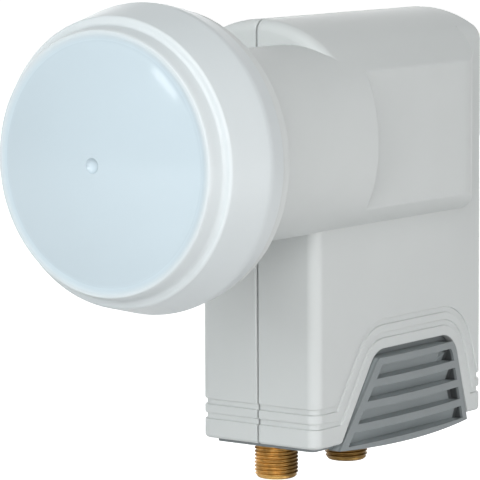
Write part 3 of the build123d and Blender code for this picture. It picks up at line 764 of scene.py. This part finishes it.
class BLOCK_OT_stage(Operator):
    """Pale floor, soft studio light and the camera"""

    bl_idname = "block.stage"
    bl_label = "Stage"

    def execute(self, context):
        scene = context.scene
        scene.view_settings.view_transform = "Standard"
        self.floor(scene)
        self.world(scene)
        for lamp in LAMPS:
            self.lamp(scene, *lamp)
        self.camera(scene)
        return {"FINISHED"}

    def floor(self, scene):
        """A wide pale plane below the connectors."""
        bm = bmesh.new()
        bmesh.ops.create_grid(bm, x_segments=8, y_segments=8, size=FLOOR_HALF)
        low = CAD_BOX[0].z - scene.block_sizes.floor_drop
        bmesh.ops.translate(bm, verts=bm.verts, vec=(0, 0, low))
        mesh = bpy.data.meshes.new("studio_floor")
        bm.to_mesh(mesh)
        bm.free()
        f = Finish("studio_floor")
        cloud = f.noise(0.4)
        x, y, _ = f.axis()
        away = f.ramp((x * x + y * y) ** 0.5, *FLOOR_REACH)
        near, far = FLOOR_GLOW
        glow = f.blend(away, shade(WHITE, near), shade(WHITE, far))
        pale = f.blend(cloud, shade(WHITE, 0.99 * FLOOR_SHADE), shade(WHITE, 1.01 * FLOOR_SHADE))
        f.surface(Base_Color=pale, Roughness=0.9, Specular_IOR_Level=0.0,
                  Emission_Color=f.blend(f.seen_rays(), (0, 0, 0, 1), glow),
                  Emission_Strength=1.0)
        mesh.materials.append(f.material)
        floor = bpy.data.objects.new("studio_floor", mesh)
        scene.collection.objects.link(floor)

    def world(self, scene):
        """Even light all round; white where the camera sees it."""
        world = bpy.data.worlds.new("studio_world")
        scene.world = world
        world.use_nodes = True
        nodes = NodeTree(world.node_tree)
        back = world.node_tree.nodes["Background"]
        nodes.plug(shade(WHITE, 1.0), back.inputs["Color"])
        level = nodes.seen_rays() * (1.0 - WORLD_LEVEL) + WORLD_LEVEL
        nodes.plug(level, back.inputs["Strength"])

    def lamp(self, scene, name, place, sides, roll, power, gloss, colour):
        """One soft lamp that looks at the object."""
        data = bpy.data.lights.new(name + "_lamp", "AREA")
        data.shape = "RECTANGLE"
        data.size, data.size_y = sides
        data.energy = power
        data.color = colour
        lamp = bpy.data.objects.new(name + "_lamp", data)
        lamp.location = place
        lamp.visible_glossy = gloss
        aim = (CAD_BOX[0] + CAD_BOX[1]) / 2 - lamp.location
        turn = Quaternion(AXIS_Z, math.radians(roll))
        lamp.rotation_euler = (aim.to_track_quat("-Z", "Y") @ turn).to_euler()
        scene.collection.objects.link(lamp)

    def camera(self, scene):
        """The photograph's viewpoint."""
        azimuth, tilt, roll = (math.radians(a) for a in CAMERA_TURN)
        right = Vector((math.cos(azimuth), math.sin(azimuth), 0))
        ahead = Vector((-math.sin(azimuth) * math.cos(tilt),
                        math.cos(azimuth) * math.cos(tilt), -math.sin(tilt)))
        up = right.cross(ahead)
        across = right * math.cos(roll) + up * math.sin(roll)
        upward = up * math.cos(roll) - right * math.sin(roll)
        data = bpy.data.cameras.new("photo_camera")
        data.lens = CAMERA_LENS
        data.sensor_width = CAMERA_SENSOR
        data.clip_start, data.clip_end = CAMERA_CLIP
        camera = bpy.data.objects.new("photo_camera", data)
        turn = Matrix((across, upward, -ahead)).transposed().to_4x4()
        camera.matrix_world = Matrix.Translation(Vector(CAMERA_PLACE) * MM) @ turn
        scene.collection.objects.link(camera)
        scene.camera = camera


class BLOCK_PT_panel(Panel):
    """Lists the pieces and the stage"""

    bl_label = "Satellite block"
    bl_idname = "BLOCK_PT_panel"
    bl_space_type = "VIEW_3D"
    bl_region_type = "UI"
    bl_category = "Block"

    def draw(self, context):
        layout = self.layout
        for group in (context.scene.block_sizes, context.scene.block_colours):
            for key in group.bl_rna.properties.keys():
                if key not in ("rna_type", "name"):
                    layout.prop(group, key)
        for step in STEPS:
            layout.operator(step.bl_idname)


STEPS = (BLOCK_OT_feed_cap, BLOCK_OT_housing, BLOCK_OT_weather_shield, BLOCK_OT_connectors,
         BLOCK_OT_inner_pieces, BLOCK_OT_stage)
CLASSES = (BlockSizes, BlockColours, *STEPS, BLOCK_PT_panel)


def register():
    for cls in CLASSES:
        bpy.utils.register_class(cls)
    bpy.types.Scene.block_sizes = PointerProperty(type=BlockSizes)
    bpy.types.Scene.block_colours = PointerProperty(type=BlockColours)


def unregister():
    del bpy.types.Scene.block_colours
    del bpy.types.Scene.block_sizes
    for cls in reversed(CLASSES):
        bpy.utils.unregister_class(cls)


def main():
    """Builds every piece and the stage."""
    register()
    bpy.ops.block.feed_cap()
    bpy.ops.block.housing()
    bpy.ops.block.weather_shield()
    bpy.ops.block.connectors()
    bpy.ops.block.inner_pieces()
    bpy.ops.block.stage()


if __name__ == "__main__":
    main()
